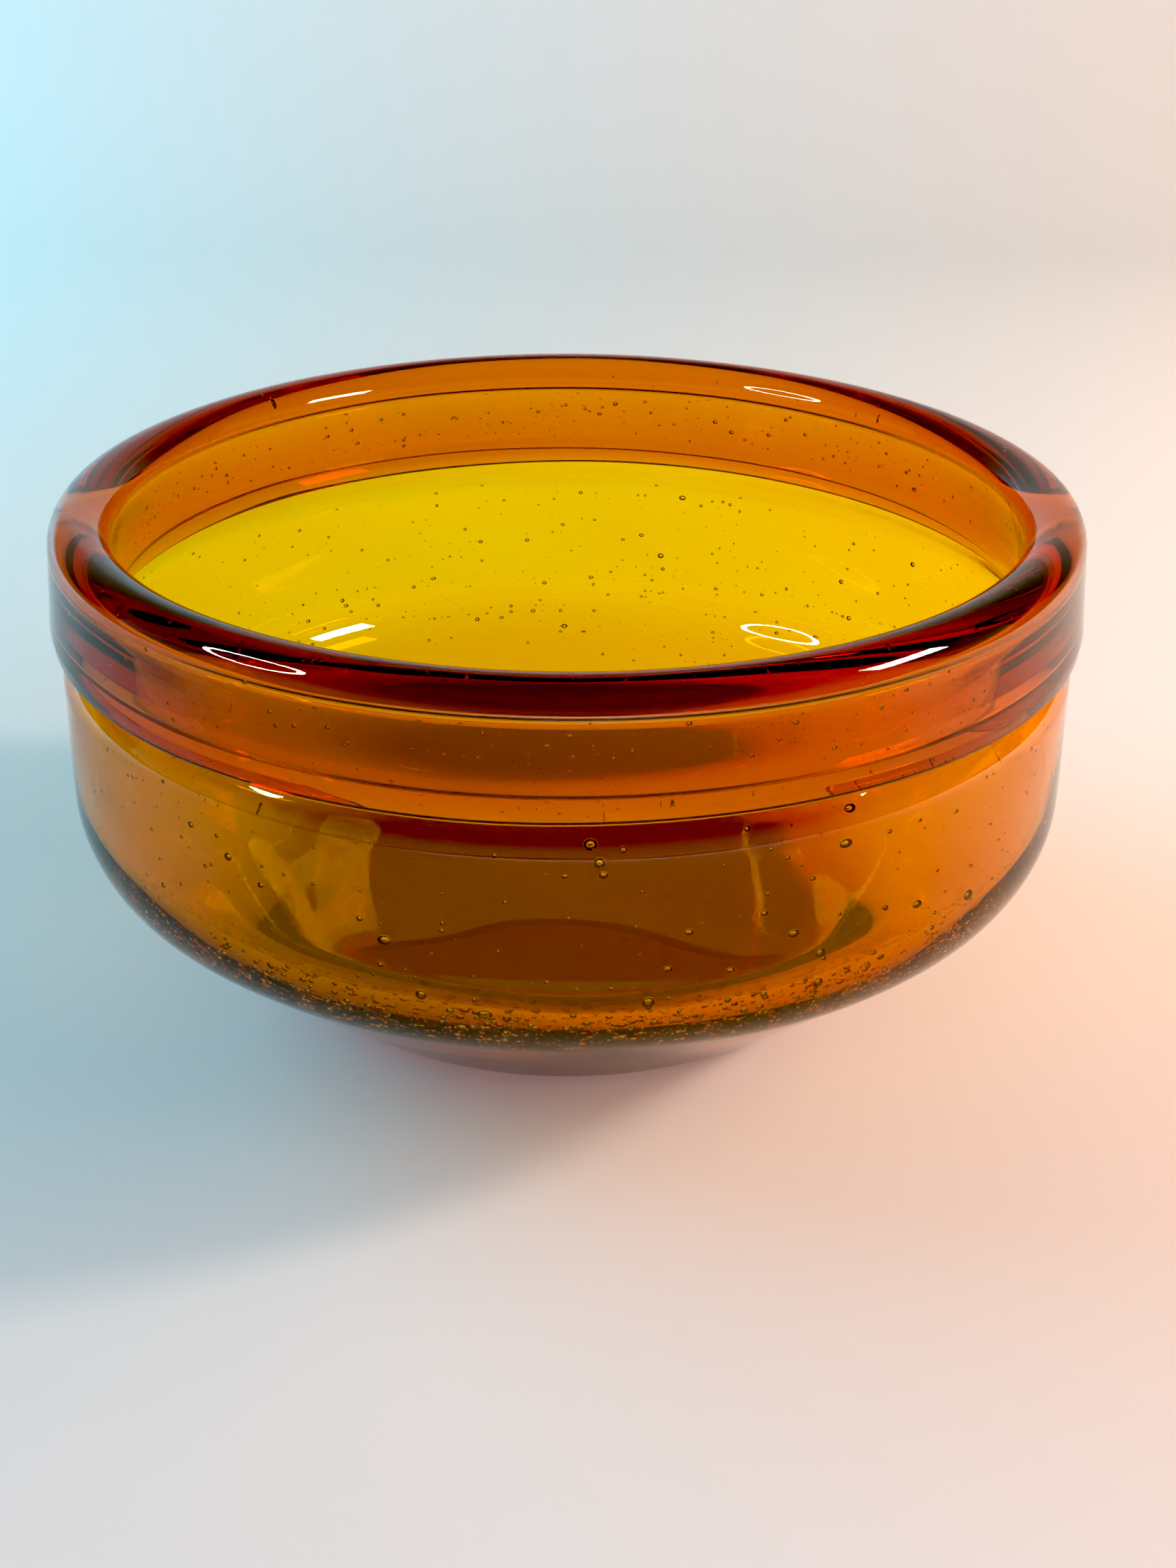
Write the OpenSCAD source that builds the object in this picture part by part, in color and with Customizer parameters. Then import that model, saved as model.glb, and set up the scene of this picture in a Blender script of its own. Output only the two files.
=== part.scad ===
// Heavy blown-glass bowl whose rim is folded outwards and down into a thick, hollow collar.
// Units are millimetres. The origin is the middle of the flat foot, and +Z is the bowl's axis.

/* [Bowl] */
// Outside diameter at the upper edge of the collar
rim_d = 190; // [170:1:220]
// Height from the foot to the top of the collar
bowl_h = 96; // [90:1:110]
// Thickness of the blown wall
wall_t = 3.8; // [3.2:0.1:5]
// How far the upright side sits inside the collar's upper edge
wall_setback = 0.6; // [0.3:0.1:1.5]
// Radius of the bend where the side turns under
shoulder_r = 20; // [14:1:24]
// Slope of the straight underside, in degrees
underside_slope = 39; // [36:1:42]
// Thickness of the glass along the underside
underside_t = 4.6; // [4:0.1:6]

/* [Neck] */
// How far the wall draws in below the collar
neck_in = 3.7; // [2.5:0.1:4.5]
// Height over which the wall flares back out below the neck
flare_h = 5.4; // [4.5:0.1:7]
// Radius of the bend where the flare becomes the upright side
flare_round = 8; // [6:0.5:10]
// Height at which the folded rim's glass is told apart from the plain wall
wall_top = 63; // [58:1:65]

/* [Collar] */
// Height of the collar, from its lower edge to its top
collar_h = 23; // [19:0.5:26]
// Thickness of the collar, from its inner face to its upper edge
collar_t = 11.1; // [9.5:0.1:12]
// How far the outer face leans out on its way down
collar_lean = 0.9; // [0.2:0.1:1.5]
// Thickness of each of the collar's two leaves
leaf_t = 3.8; // [3.2:0.1:4.6]
// Height of the domed top of the collar
crown_h = 5.5; // [3:0.5:7]
// How much of the dome's outer quarter the upper edge cuts off, in degrees
crown_cut = 10; // [5:1:20]
// Height of the band that leans back in above the lower edge
edge_h = 3; // [2:0.5:4]
// How far that band leans back in
edge_in = 0.4; // [0.2:0.1:1]
// Rounding of the fold's lower edge
edge_round = 0.8; // [0.4:0.1:1.5]
// Radius of the soft bend at the bottom of the collar's inner face
bend_round = 10; // [4:0.5:12]
// Width of the air channel trapped between the two leaves
channel_w = 3; // [1.5:0.1:3.5]
// Height of the top of that channel
channel_top = 89.4; // [86:0.1:91.5]
// Height of the channel's pinched lower end
channel_low = 75.8; // [75:0.1:80]
// Height of the channel's domed top
channel_round = 1.5; // [1:0.5:4]

/* [Foot] */
// Diameter of the flat face that the bowl stands on
foot_d = 94; // [80:1:100]
// Radius of the bend between the foot and the underside
foot_round = 18; // [12:1:22]
// Thickness of the glass at the middle of the foot
foot_t = 12; // [8:0.5:14]
// Radius of the hollow's lower corner
floor_round = 26; // [15:1:28]
// Diameter of the thick disc of glass gathered at the bottom
gather_d = 132; // [128:1:140]

/* [Hidden] */
// Facets round the axis, and points along each bend
$fn = 128;
arc_steps = 10;

rim_r = rim_d / 2;
wall_r = rim_r - wall_setback;
wall_inner_r = wall_r - wall_t;
inner_r = rim_r - collar_t;
neck_r = wall_r - neck_in;
collar_z = bowl_h - collar_h;
flare_tan = neck_in / flare_h;
neck_inner_r = neck_r - leaf_t / cos(atan(flare_tan));
flare_inner_z = collar_z - (wall_inner_r - neck_inner_r) / flare_tan;
bend_z = collar_z + (neck_inner_r - inner_r) / flare_tan;
crown_r = (inner_r + rim_r) / 2;
crown_z = bowl_h - crown_h;
band_r = rim_r + collar_lean;
gather_r = gather_d / 2;
// Where the foot's plane and the underside would meet without their bend
foot_corner_r = foot_d / 2 + foot_round * tan(underside_slope / 2);

// Height of the underside's outer and inner faces at a distance r from the axis
function outer_z(r) = (r - foot_corner_r) * tan(underside_slope);
function inner_z(r) = outer_z(r) + underside_t / cos(underside_slope);
// Distance from the axis at which the underside's inner face is z high
function inner_at(z) = foot_corner_r + (z - underside_t / cos(underside_slope)) / tan(underside_slope);

function unit(v) = v / norm(v);
function spot(corner) = [corner[0], corner[1]];

// Points of an elliptical arc about [cx, cy], with half-axes a and b
function ellipse_arc(cx, cy, a, b, from, to) =
    [for (i = [0:arc_steps])
        let (t = from + (to - from) * i / arc_steps)
        [cx + a * cos(t), cy + b * sin(t)]];

// Points that round the corner p, between its neighbours a and b, to the radius r
function round_corner(a, p, b, r) =
    let (
        u = unit(a - p),
        v = unit(b - p),
        half = acos(u * v) / 2,
        centre = p + unit(u + v) * (r / sin(half)),
        start = p + u * (r / tan(half)) - centre,
        from = atan2(start[1], start[0]),
        turn = (cross(u, v) < 0 ? 1 : -1) * (180 - 2 * half)
    )
    ellipse_arc(centre[0], centre[1], r, r, from, from + turn);

// The outline through corners [x, y, radius], where a radius of 0 keeps the corner sharp
function outline(corners) =
    let (n = len(corners))
    [for (i = [0:n - 1])
        let (here = corners[i])
        each here[2] == 0
            ? [spot(here)]
            : round_corner(spot(corners[(i + n - 1) % n]), spot(here), spot(corners[(i + 1) % n]), here[2])];

module turned(points) {
    rotate_extrude() polygon(points);
}

// Half of the trapped channel's outline, from its pinched end up to its top.
// side is -1 for the inner leaf's half and 1 for the turned-down leaf's half.
function channel(side) = concat(
    [[crown_r, channel_low]],
    [for (i = [0:arc_steps])
        let (t = 90 * i / arc_steps)
        [crown_r + side * channel_w / 2 * cos(t), channel_top - channel_round * (1 - sin(t))]]
);

module base_gather() {
    color("saddlebrown", 0.8) turned(outline([
        [0, 0, 0],
        [foot_corner_r, 0, foot_round],
        [gather_r, outer_z(gather_r), 0],
        [gather_r, inner_z(gather_r), 0],
        [inner_at(foot_t), foot_t, floor_round],
        [0, foot_t, 0]
    ]));
}

module bowl_wall() {
    color("orange", 0.6) turned(outline([
        [gather_r, outer_z(gather_r), 0],
        [wall_r, outer_z(wall_r), shoulder_r],
        [wall_r, wall_top, 0],
        [wall_inner_r, wall_top, 0],
        [wall_inner_r, inner_z(wall_inner_r), shoulder_r - wall_t],
        [gather_r, inner_z(gather_r), 0]
    ]));
}

// The leaf that flares in from the wall and rises to the top of the fold
module collar_core() {
    wall_bend = [wall_inner_r, flare_inner_z];
    color("darkorange", 0.7) turned(concat(
        ellipse_arc(crown_r, crown_z, crown_r - inner_r, crown_h, 90, 180),
        round_corner([inner_r, crown_z], [inner_r, bend_z], [neck_inner_r, collar_z], bend_round),
        round_corner([neck_inner_r, collar_z], wall_bend, [wall_inner_r, wall_top], flare_round),
        [[wall_inner_r, wall_top], [wall_r, wall_top]],
        round_corner([wall_r, wall_top], [wall_r, collar_z - flare_h], [neck_r, collar_z], flare_round),
        [[neck_r, collar_z]],
        channel(-1)
    ));
}

// The leaf that is turned out and down over the neck
module folded_lip() {
    edge = [band_r - edge_in, collar_z];
    brow = [band_r, collar_z + edge_h];
    color("chocolate", 0.7) turned(concat(
        ellipse_arc(crown_r, crown_z, (rim_r - crown_r) / cos(crown_cut), crown_h, 90, crown_cut),
        [brow],
        round_corner(brow, edge, [neck_r, collar_z], edge_round),
        [[neck_r, collar_z]],
        channel(1)
    ));
}

base_gather();
bowl_wall();
collar_core();
folded_lip();
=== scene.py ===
"""Amber blown-glass bowl on a pale sweep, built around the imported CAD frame. Metres, +Z up."""
import math

import bmesh
import bpy
import numpy as np
from mathutils import Matrix, Vector


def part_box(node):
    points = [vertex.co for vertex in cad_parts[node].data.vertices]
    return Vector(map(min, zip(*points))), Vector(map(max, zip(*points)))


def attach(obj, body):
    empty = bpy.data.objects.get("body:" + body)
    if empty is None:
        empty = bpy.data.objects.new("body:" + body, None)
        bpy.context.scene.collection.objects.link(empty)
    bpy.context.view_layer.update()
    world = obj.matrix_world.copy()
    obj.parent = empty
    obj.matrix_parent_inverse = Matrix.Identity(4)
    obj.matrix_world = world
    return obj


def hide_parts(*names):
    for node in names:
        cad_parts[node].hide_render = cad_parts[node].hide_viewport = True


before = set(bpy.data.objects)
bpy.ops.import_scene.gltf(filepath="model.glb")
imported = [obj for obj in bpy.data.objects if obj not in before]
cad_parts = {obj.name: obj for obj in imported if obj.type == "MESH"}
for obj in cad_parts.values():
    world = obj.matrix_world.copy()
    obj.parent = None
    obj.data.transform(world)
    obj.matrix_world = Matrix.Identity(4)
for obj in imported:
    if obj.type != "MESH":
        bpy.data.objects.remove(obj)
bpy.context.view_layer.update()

MM = 0.001
scene = bpy.context.scene

# ---------------------------------------------------------------- sizes, in mm
# From the frame
lip_low, lip_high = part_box("folded_lip")
core_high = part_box("collar_core")[1]
wall_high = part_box("bowl_wall")[1]
BOWL_H = core_high.z / MM
COLLAR_Z = lip_low.z / MM
BAND_R = lip_high.x / MM
WALL_R = wall_high.x / MM
# Sections that the frame's boxes don't give
COLLAR_LEAN = 0.9
COLLAR_T = 11.1
RIM_R = BAND_R - COLLAR_LEAN
INNER_R = RIM_R - COLLAR_T
LEAF_T = 3.8
CROWN_H = 5.5
CROWN_CUT = 10
EDGE_H = 3.0
EDGE_IN = 0.4
EDGE_ROUND = 0.8
BROW_ROUND = 1.5
NECK_ROUND = 0.5
BEND_ROUND = 10.0
CHANNEL_W = 3.0
CHANNEL_TOP = 89.4
CHANNEL_ROUND = 1.5
CHANNEL_LOW = 75.8
CHANNEL_TIP = 0.4
WALL_T = 3.8
NECK_IN = 3.7
FLARE_H = 5.4
FLARE_ROUND = 8.0
SHOULDER_R = 20.0
SLOPE = math.radians(39)
UNDERSIDE_T = 5.2
FOOT_R = 47.0
FOOT_ROUND = 18.0
FOOT_T = 12.0
FLOOR_ROUND = 26.0
# Facets round the axis, and the longest stretch along the outline
SEGMENTS = 224
STEP = 1.6
# Below these, a point counts as on the foot's face or on the axis
ON_FOOT = 1e-6
ON_AXIS = 1e-6


# ---------------------------------------------------------------- outline of the glass
def ellipse_arc(cx, cy, a, b, start, end):
    """Points of an elliptical arc, about one every 4 degrees. Angles are in degrees."""
    steps = max(4, int(abs(end - start) / 4))
    turns = np.radians(np.linspace(start, end, steps + 1))
    return [(cx + a * math.cos(t), cy + b * math.sin(t)) for t in turns]


def round_corner(a, p, b, radius):
    """Points that round the corner p, between its neighbours a and b."""
    a, p, b = (np.array(q, float) for q in (a, p, b))
    u = (a - p) / np.linalg.norm(a - p)
    v = (b - p) / np.linalg.norm(b - p)
    half = math.acos(float(u @ v)) / 2
    middle = (u + v) / np.linalg.norm(u + v)
    centre = p + middle * radius / math.sin(half)
    start = p + u * radius / math.tan(half) - centre
    angle = math.degrees(math.atan2(start[1], start[0]))
    turn = 180 - 2 * math.degrees(half)
    if u[0] * v[1] - u[1] * v[0] > 0:
        turn = -turn
    return ellipse_arc(centre[0], centre[1], radius, radius, angle, angle + turn)


def outline(corners):
    """The path through corners (r, z, radius); its two ends stay sharp."""
    path = []
    for i, (r, z, radius) in enumerate(corners):
        if radius == 0:
            path.append((r, z))
        else:
            path += round_corner(corners[i - 1][:2], (r, z), corners[i + 1][:2], radius)
    return path


def subdivided(path, step):
    """The same path with no stretch longer than step."""
    points = [path[0]]
    for a, b in zip(path, path[1:]):
        pieces = max(1, math.ceil(math.dist(a, b) / step))
        for i in range(1, pieces + 1):
            points.append((a[0] + (b[0] - a[0]) * i / pieces, a[1] + (b[1] - a[1]) * i / pieces))
    return points


def glass_outlines():
    """The outer path, from the foot's middle up to the crown, and the inner path, back down to the floor."""
    foot_corner = FOOT_R + FOOT_ROUND * math.tan(SLOPE / 2)
    flare_tan = NECK_IN / FLARE_H
    neck_inner = WALL_R - NECK_IN - LEAF_T / math.cos(math.atan(flare_tan))
    wall_inner = WALL_R - WALL_T
    bend_z = COLLAR_Z + (neck_inner - INNER_R) / flare_tan
    flare_inner_z = COLLAR_Z - (wall_inner - neck_inner) / flare_tan
    crown_r = (INNER_R + RIM_R) / 2
    crown_z = BOWL_H - CROWN_H
    rise = UNDERSIDE_T / math.cos(SLOPE)
    floor_corner = foot_corner + (FOOT_T - rise) / math.tan(SLOPE)
    outer = outline([
        (0, 0, 0),
        (foot_corner, 0, FOOT_ROUND),
        (WALL_R, (WALL_R - foot_corner) * math.tan(SLOPE), SHOULDER_R),
        (WALL_R, COLLAR_Z - FLARE_H, FLARE_ROUND),
        (WALL_R - NECK_IN, COLLAR_Z, NECK_ROUND),
        (BAND_R - EDGE_IN, COLLAR_Z, EDGE_ROUND),
        (BAND_R, COLLAR_Z + EDGE_H, BROW_ROUND),
        (RIM_R, crown_z + CROWN_H * math.sin(math.radians(CROWN_CUT)), 0),
    ])[:-1]
    wide = (RIM_R - crown_r) / math.cos(math.radians(CROWN_CUT))
    outer += ellipse_arc(crown_r, crown_z, wide, CROWN_H, CROWN_CUT, 90)
    inner = ellipse_arc(crown_r, crown_z, crown_r - INNER_R, CROWN_H, 90, 180)
    inner += outline([
        (INNER_R, crown_z, 0),
        (INNER_R, bend_z, BEND_ROUND),
        (wall_inner, flare_inner_z, FLARE_ROUND),
        (wall_inner, (wall_inner - foot_corner) * math.tan(SLOPE) + rise, SHOULDER_R - WALL_T),
        (floor_corner, FOOT_T, FLOOR_ROUND),
        (0, FOOT_T, 0),
    ])[1:]
    return outer, inner


def channel_outline():
    """The closed path round the air trapped between the collar's two leaves."""
    middle = (INNER_R + RIM_R) / 2
    half = CHANNEL_W / 2
    path = ellipse_arc(middle, CHANNEL_TOP - CHANNEL_ROUND, half, CHANNEL_ROUND, 0, 180)
    path += ellipse_arc(middle, CHANNEL_LOW + CHANNEL_TIP, CHANNEL_TIP, CHANNEL_TIP, 190, 350)
    return path


# ---------------------------------------------------------------- meshes
def hand_made(theta, r, z, inner):
    """How far the hand-worked surface strays from the true section: (radial, upward), in mm."""
    height = z / BOWL_H
    out_of_round = height * (0.30 * np.cos(2 * theta + 0.6) + 0.14 * np.cos(3 * theta + 2.1))
    side = 1.7 if inner else 0.0
    ripple = (
        0.05 * np.cos(5 * theta + 0.11 * z + 1.0 + side)
        + 0.04 * np.cos(9 * theta - 0.17 * z + 2.4 + 2 * side)
        + 0.02 * np.cos(14 * theta + 0.31 * z + 0.3 + 3 * side)
    )
    ripple = ripple * np.clip(r / 40 - 0.5, 0, 1)
    lift = height**2 * (0.25 * np.cos(theta + 0.4) + 0.15 * np.cos(3 * theta + 1.2))
    near_edge = np.exp(-(((z - COLLAR_Z) / 4.0) ** 2))
    if inner:
        lift = lift + near_edge * (1.0 * np.cos(theta) + 0.2 * np.cos(4 * theta + 0.5))
    else:
        lift = lift + near_edge * (0.12 * np.cos(2 * theta + 0.9) + 0.10 * np.cos(5 * theta))
    return out_of_round + ripple, lift


def ring(r, z, inner):
    """One ring of vertices, in mm. The foot stays flat."""
    theta = np.linspace(0, 2 * math.pi, SEGMENTS, endpoint=False)
    dr, dz = hand_made(theta, r, z, inner)
    if z < ON_FOOT:
        dz = dz * 0
    return np.stack([(r + dr) * np.cos(theta), (r + dr) * np.sin(theta), z + dz], 1)


def turned_mesh(name, outer, inner, channel):
    """A closed surface of revolution with the hand-made deviations, and the channel inside it."""
    path = outer + inner
    is_inner = np.array([False] * len(outer) + [True] * len(inner))
    rows = [ring(r, z, inside) for (r, z), inside in zip(path, is_inner) if r > ON_AXIS]
    count = len(rows)
    verts = np.concatenate(rows + [[(0, 0, path[0][1])], [(0, 0, path[-1][1])]]) * MM
    bottom, top = count * SEGMENTS, count * SEGMENTS + 1
    faces = []
    for i in range(count - 1):
        for j in range(SEGMENTS):
            k = (j + 1) % SEGMENTS
            faces.append((i * SEGMENTS + j, i * SEGMENTS + k, (i + 1) * SEGMENTS + k, (i + 1) * SEGMENTS + j))
    for j in range(SEGMENTS):
        k = (j + 1) % SEGMENTS
        faces.append((bottom, k, j))
        last = (count - 1) * SEGMENTS
        faces.append((top, last + j, last + k))
    first = len(verts)
    verts = np.concatenate([verts] + [ring(r, z, False) * MM for r, z in channel])
    for i in range(len(channel)):
        here = first + i * SEGMENTS
        after = first + (i + 1) % len(channel) * SEGMENTS
        for j in range(SEGMENTS):
            k = (j + 1) % SEGMENTS
            faces.append((here + k, here + j, after + j, after + k))
    mesh = bpy.data.meshes.new(name)
    mesh.from_pydata(verts.tolist(), [], faces)
    mesh.validate()
    mesh.polygons.foreach_set("use_smooth", [True] * len(mesh.polygons))
    mesh.update()
    return mesh


def add_object(name, mesh, material):
    obj = bpy.data.objects.new(name, mesh)
    scene.collection.objects.link(obj)
    mesh.materials.append(material)
    return obj


# ---------------------------------------------------------------- bubbles
UP = np.array([0, 0, 1.0])


def ball(detail):
    """Vertices and faces of a unit ball."""
    mesh = bmesh.new()
    bmesh.ops.create_icosphere(mesh, subdivisions=detail, radius=1.0)
    verts = np.array([v.co[:] for v in mesh.verts])
    faces = [[v.index for v in face.verts] for face in mesh.faces]
    mesh.free()
    return verts, np.array(faces)


def seeds(rng, count, low, high, sizes, spot, side=(0, 2 * math.pi)):
    """Bubbles as rows (theta, r, z, radius, stretch).

    spot(t, depth) places one, with t between low and high. Most are near the smaller of the two sizes.
    """
    rows = []
    for _ in range(count):
        t = rng.uniform(low, high)
        r, z = spot(t, rng.uniform(0.2, 0.8))
        radius = sizes[0] + (sizes[1] - sizes[0]) * rng.random() ** 3
        rows.append((rng.uniform(*side), r, z, radius, rng.uniform(1.0, 1.5)))
    return rows


def add_bubbles(name, rows, detail, material):
    """One mesh of many small balls, each stretched a little along the wall."""
    verts, faces = ball(detail)
    all_verts, all_faces = [], []
    for i, (theta, r, z, radius, stretch) in enumerate(rows):
        outward = np.array([math.cos(theta), math.sin(theta), 0])
        along = np.array([-math.sin(theta), math.cos(theta), 0])
        dr, dz = hand_made(theta, r, z, False)
        middle = outward * (r + dr) + UP * (z + dz)
        local = verts[:, :1] * outward + verts[:, 1:2] * along * stretch + verts[:, 2:] * UP
        all_verts.append((middle + local * radius) * MM)
        all_faces.append(faces + i * len(verts))
    mesh = bpy.data.meshes.new(name)
    mesh.from_pydata(np.concatenate(all_verts).tolist(), [], np.concatenate(all_faces).tolist())
    mesh.polygons.foreach_set("use_smooth", [True] * len(mesh.polygons))
    mesh.update()
    obj = add_object(name, mesh, material)
    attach(obj, "root")


# ---------------------------------------------------------------- materials
GLASS_IOR = 1.52
GLASS_COLOUR = (0.963, 0.852, 0.03)
GLASS_DENSITY = 1100.0


def new_material(name):
    material = bpy.data.materials.new(name)
    material.use_nodes = True
    nodes = material.node_tree.nodes
    nodes.clear()
    return material, nodes, material.node_tree.links


def amber_glass():
    material, nodes, links = new_material("amber_glass")
    out = nodes.new("ShaderNodeOutputMaterial")
    shader = nodes.new("ShaderNodeBsdfPrincipled")
    shader.inputs["Base Color"].default_value = (1, 1, 1, 1)
    shader.inputs["Roughness"].default_value = 0.0
    shader.inputs["IOR"].default_value = GLASS_IOR
    shader.inputs["Transmission Weight"].default_value = 1.0
    volume = nodes.new("ShaderNodeVolumeAbsorption")
    volume.inputs["Color"].default_value = (*GLASS_COLOUR, 1)
    volume.inputs["Density"].default_value = GLASS_DENSITY
    links.new(shader.outputs["BSDF"], out.inputs["Surface"])
    links.new(volume.outputs["Volume"], out.inputs["Volume"])
    return material


def bubble_surface():
    """The boundary from glass to the air inside a bubble."""
    material, nodes, links = new_material("trapped_air")
    out = nodes.new("ShaderNodeOutputMaterial")
    shader = nodes.new("ShaderNodeBsdfGlass")
    shader.inputs["Color"].default_value = (1, 1, 1, 1)
    shader.inputs["Roughness"].default_value = 0.0
    shader.inputs["IOR"].default_value = 1 / GLASS_IOR
    links.new(shader.outputs["BSDF"], out.inputs["Surface"])
    return material


def matte(name, colour):
    material, nodes, links = new_material(name)
    out = nodes.new("ShaderNodeOutputMaterial")
    shader = nodes.new("ShaderNodeBsdfDiffuse")
    shader.inputs["Color"].default_value = (*colour, 1)
    links.new(shader.outputs["BSDF"], out.inputs["Surface"])
    return material


def glow(name, colour, strength):
    material, nodes, links = new_material(name)
    out = nodes.new("ShaderNodeOutputMaterial")
    shader = nodes.new("ShaderNodeEmission")
    shader.inputs["Color"].default_value = (*colour, 1)
    shader.inputs["Strength"].default_value = strength
    links.new(shader.outputs["Emission"], out.inputs["Surface"])
    return material


# ---------------------------------------------------------------- stage, light and camera
PAPER_REACH = 4.0
PAPER_Z = -0.0003
CURVE_Y = 0.6
CURVE_R = 0.4
PAPER_TOP = 1.4
PAPER_COLOUR = (0.8, 0.8, 0.8)


def add_sweep():
    """Paper that runs flat under the bowl and curves up behind it."""
    turns = np.radians(range(5, 91, 5))
    path = [(-PAPER_REACH, PAPER_Z), (CURVE_Y, PAPER_Z)]
    path += [(CURVE_Y + CURVE_R * math.sin(t), PAPER_Z + CURVE_R * (1 - math.cos(t))) for t in turns]
    path.append((CURVE_Y + CURVE_R, PAPER_TOP))
    verts = [(x, y, z) for y, z in path for x in (-PAPER_REACH, PAPER_REACH)]
    faces = [(2 * i, 2 * i + 1, 2 * i + 3, 2 * i + 2) for i in range(len(path) - 1)]
    mesh = bpy.data.meshes.new("sweep")
    mesh.from_pydata(verts, [], faces)
    mesh.polygons.foreach_set("use_smooth", [True] * len(mesh.polygons))
    add_object("sweep", mesh, matte("paper", PAPER_COLOUR))


def aimed(place, target):
    """The rotation that turns -Z at place towards target."""
    aim = Vector(target) - Vector(place)
    return aim.to_track_quat("-Z", "Y").to_euler()


def add_area(name, place, target, size, colour, power):
    """A soft lamp that lights the stage and stays out of the glass's own reflections."""
    data = bpy.data.lights.new(name, "AREA")
    data.shape = "RECTANGLE"
    data.size, data.size_y = size
    data.color = colour
    data.energy = power
    obj = bpy.data.objects.new(name, data)
    obj.location = place
    obj.rotation_euler = aimed(place, target)
    obj.visible_glossy = False
    obj.visible_transmission = False
    scene.collection.objects.link(obj)


def ring_face(inner, outer, steps=48):
    """A flat ring facing -Z, in metres."""
    verts, faces = [], []
    for i in range(steps):
        angle = 2 * math.pi * i / steps
        verts += [(r * math.cos(angle), r * math.sin(angle), 0) for r in (inner, outer)]
        j = (i + 1) % steps
        faces.append((2 * i, 2 * i + 1, 2 * j + 1, 2 * j))
    return verts, faces


def box_face(width, height):
    """A flat rectangle facing -Z, in metres."""
    w, h = width / 2, height / 2
    return [(-w, -h, 0), (w, -h, 0), (w, h, 0), (-w, h, 0)], [(0, 1, 2, 3)]


def add_lamp(name, place, target, face, colour, strength):
    """A glowing face that the glass reflects, and that doesn't light the paper."""
    verts, faces = face
    mesh = bpy.data.meshes.new(name)
    mesh.from_pydata(verts, [], faces)
    obj = add_object(name, mesh, glow(name, colour, strength))
    obj.location = place
    obj.rotation_euler = aimed(place, target)
    obj.visible_camera = False
    obj.visible_diffuse = False


# The backdrop, the room's light on the paper, and the paper's light on the glass
PALE = (0.78, 0.80, 0.80)
SKY_COLOUR = (1.0, 0.67, 0.58)
SKY_STRENGTH = 0.168
SKY_THROUGH_GLASS = 0.6
# What the glass sees of the room, from left to right and from level up to overhead
WALLS_SIDEWAYS = [
    (0.0, (0.52, 0.77, 0.88)),
    (1.0, (0.98, 0.78, 0.63)),
    (0.5, (0.78, 0.81, 0.80)),
]
WALLS_HEIGHT = [
    (0.0, (0.9, 0.9, 0.9)),
    (1.0, (0.0, 0.0, 0.0)),
    (0.2, (0.8, 0.8, 0.8)),
    (0.5, (0.01, 0.01, 0.01)),
]


def add_world():
    """Soft room light on the paper; the glass itself sees pale walls low down and a dark ceiling."""
    world = bpy.data.worlds.new("room")
    scene.world = world
    world.use_nodes = True
    nodes, links = world.node_tree.nodes, world.node_tree.links
    nodes.clear()
    out = nodes.new("ShaderNodeOutputWorld")
    path = nodes.new("ShaderNodeLightPath")
    place = nodes.new("ShaderNodeTexCoord")
    split = nodes.new("ShaderNodeSeparateXYZ")
    links.new(place.outputs["Generated"], split.inputs["Vector"])

    def ramp(socket, stops):
        node = nodes.new("ShaderNodeValToRGB")
        elements = node.color_ramp.elements
        for i, (position, colour) in enumerate(stops):
            element = elements[i] if i < 2 else elements.new(position)
            element.position = position
            element.color = (*colour, 1)
        links.new(socket, node.inputs["Fac"])
        return node.outputs["Color"]

    def background(colour, strength=1.0):
        node = nodes.new("ShaderNodeBackground")
        node.inputs["Strength"].default_value = strength
        if isinstance(colour, tuple):
            node.inputs["Color"].default_value = (*colour, 1)
        else:
            links.new(colour, node.inputs["Color"])
        return node.outputs["Background"]

    def mix(factor, first, second):
        node = nodes.new("ShaderNodeMixShader")
        links.new(factor, node.inputs[0])
        links.new(first, node.inputs[1])
        links.new(second, node.inputs[2])
        return node.outputs["Shader"]

    def maths(kind, a, b):
        node = nodes.new("ShaderNodeMath")
        node.operation = kind
        links.new(a, node.inputs[0])
        if isinstance(b, (int, float)):
            node.inputs[1].default_value = b
        else:
            links.new(b, node.inputs[1])
        return node.outputs[0]

    sideways = maths("ADD", maths("MULTIPLY", split.outputs["X"], 0.5), 0.5)
    sky = background(SKY_COLOUR, SKY_STRENGTH)
    walls_colour = ramp(sideways, WALLS_SIDEWAYS)
    height = ramp(split.outputs["Z"], WALLS_HEIGHT)
    shade = nodes.new("ShaderNodeMix")
    shade.data_type = "RGBA"
    shade.blend_type = "MULTIPLY"
    shade.inputs["Factor"].default_value = 1.0
    links.new(walls_colour, shade.inputs["A"])
    links.new(height, shade.inputs["B"])
    walls = background(shade.outputs["Result"])
    through_glass = maths("GREATER_THAN", path.outputs["Transmission Depth"], 0.5)
    bright_sky = background((1, 1, 1), SKY_THROUGH_GLASS)
    sky = mix(through_glass, sky, bright_sky)
    lights_paper = maths("GREATER_THAN", path.outputs["Diffuse Depth"], 0.5)
    seen = mix(path.outputs["Is Camera Ray"], walls, background(PALE))
    links.new(mix(lights_paper, seen, sky), out.inputs["Surface"])


CAMERA_LENS = 53.7
CAMERA_PLACE = (0.0041, -0.4153, 0.2356)
CAMERA_DOWN = 25.86
CAMERA_ROLL = 0.4


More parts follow.
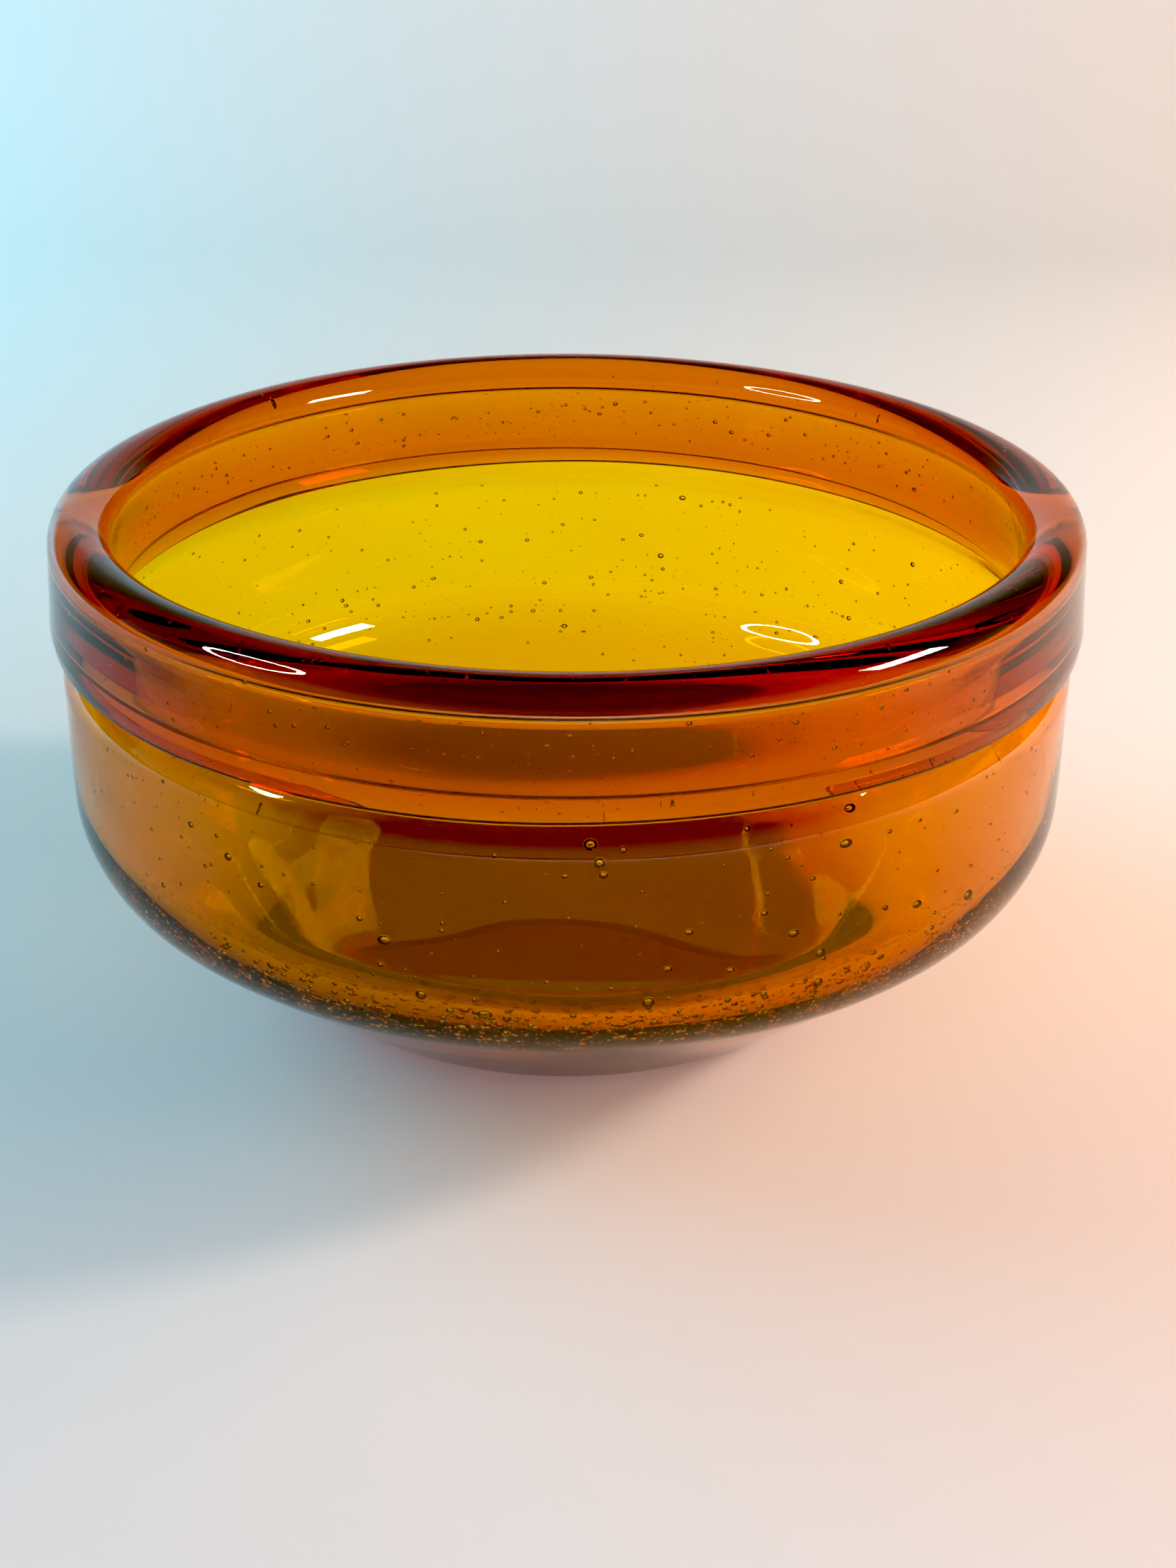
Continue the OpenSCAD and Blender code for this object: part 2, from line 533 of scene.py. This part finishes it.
def add_camera():
    data = bpy.data.cameras.new("camera")
    data.lens = CAMERA_LENS
    data.sensor_width = 36
    data.clip_start = 0.01
    obj = bpy.data.objects.new("camera", data)
    scene.collection.objects.link(obj)
    obj.matrix_world = (
        Matrix.Translation(CAMERA_PLACE)
        @ Matrix.Rotation(math.radians(90 - CAMERA_DOWN), 4, "X")
        @ Matrix.Rotation(math.radians(CAMERA_ROLL), 4, "Z")
    )
    scene.camera = obj


add_sweep()
add_world()
add_camera()
add_area("left_blue", (-0.8, 0.35, 0.40), (0, 0.1, 0), (0.9, 0.5), (0.13, 0.77, 1.0), 9.4)
add_area("right_warm", (0.8, 0.0, 0.35), (0, 0.1, 0), (1.0, 0.5), (1.0, 0.53, 0.27), 8.5)
add_area("right_key", (0.82, 0.10, 0.38), (0, 0, 0.05), (0.12, 0.12), (1.0, 0.75, 0.63), 5.3)
add_area("front_fill", (0.1, -0.8, 0.14), (0, 0, 0.02), (1.2, 0.2), (0.69, 0.79, 1.0), 7.3)
add_lamp("ring_lamp", (-0.40, -0.15, 0.37), (0, 0, 0.09), ring_face(0.083, 0.098), (0.92, 0.97, 1.0), 45)
add_lamp("window_lamp", (0.40, -0.13, 0.31), (0, 0, 0.09), box_face(0.14, 0.08), (1.0, 0.98, 0.95), 30)

# ---------------------------------------------------------------- the bowl
outer_path, inner_path = glass_outlines()
outer_path = subdivided(outer_path, STEP)
inner_path = subdivided(inner_path, STEP)
channel_path = channel_outline()
channel_path = subdivided(channel_path + channel_path[:1], STEP)[:-1]
glass_mesh = turned_mesh("glass_body", outer_path, inner_path[1:], channel_path)
glass = add_object("glass_body", glass_mesh, amber_glass())
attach(glass, "root")
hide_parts("base_gather", "bowl_wall", "collar_core", "folded_lip")

# ---------------------------------------------------------------- the bubbles in it
# Larger bubbles as (count, from and to in mm along the outer face, from and to in degrees round the axis)
LARGE_GROUPS = {
    "under_the_collar": (7, 132, 142, -90, -60),
    "wall_right_of_front": (9, 112, 124, -85, -30),
    "wall_left_of_front": (5, 115, 132, -140, -95),
    "shoulder_in_front": (12, 103, 110, -120, -60),
    "sides_and_back": (15, 98, 134, -30, 210),
}
rng = np.random.default_rng(11)
trapped_air = bubble_surface()


def in_inner_leaf(t, depth):
    return INNER_R + LEAF_T * depth, t


def in_outer_leaf(t, depth):
    return RIM_R - LEAF_T * (1 - depth), t


def under_skin(t, depth):
    """A spot under the outer face, t mm along it from the foot's middle."""
    i = int(np.searchsorted(skin_length, t))
    here, after = np.array(outer_path[i]), np.array(outer_path[i + 1])
    along = (after - here) / np.linalg.norm(after - here)
    inward = np.array([-along[1], along[0]])
    return tuple(here + inward * WALL_T * depth)


def mid_skin(t, depth):
    """A spot halfway through the glass, where a large bubble has room."""
    return under_skin(t, 0.5)


skin_length = np.cumsum([0] + [math.dist(a, b) for a, b in zip(outer_path, outer_path[1:])])
collar_seeds = seeds(rng, 420, 79, 87, (0.10, 0.45), in_inner_leaf)
collar_seeds += seeds(rng, 320, 77.5, 90, (0.10, 0.40), in_outer_leaf)
wall_seeds = seeds(rng, 620, 112, 138, (0.10, 0.42), under_skin)
wall_seeds += seeds(rng, 420, 104, 116, (0.10, 0.50), under_skin)
front = (math.radians(-155), math.radians(-25))
underside_seeds = seeds(rng, 1500, 90, 107, (0.16, 0.62), under_skin, front)
underside_seeds += seeds(rng, 260, 94, 108.5, (0.12, 0.40), under_skin)
underside_seeds += seeds(rng, 260, 40, 93, (0.12, 0.40), under_skin)
large = []
for count, low, high, start, end in LARGE_GROUPS.values():
    large += seeds(rng, count, low, high, (0.50, 0.95), mid_skin, (math.radians(start), math.radians(end)))
add_bubbles("collar_seeds", collar_seeds, 2, trapped_air)
add_bubbles("wall_seeds", wall_seeds, 2, trapped_air)
add_bubbles("underside_seeds", underside_seeds, 2, trapped_air)
add_bubbles("large_bubbles", large, 3, trapped_air)

# ---------------------------------------------------------------- looks of the picture
BLACK_LEVEL = (0.02, 0.03, 0.045)
scene.view_settings.view_transform = "Standard"
scene.view_settings.use_curve_mapping = True
scene.view_settings.curve_mapping.black_level = BLACK_LEVEL
scene.view_settings.curve_mapping.update()
scene.cycles.max_bounces = 24
scene.cycles.transmission_bounces = 24
scene.cycles.glossy_bounces = 8
scene.cycles.use_denoising = True
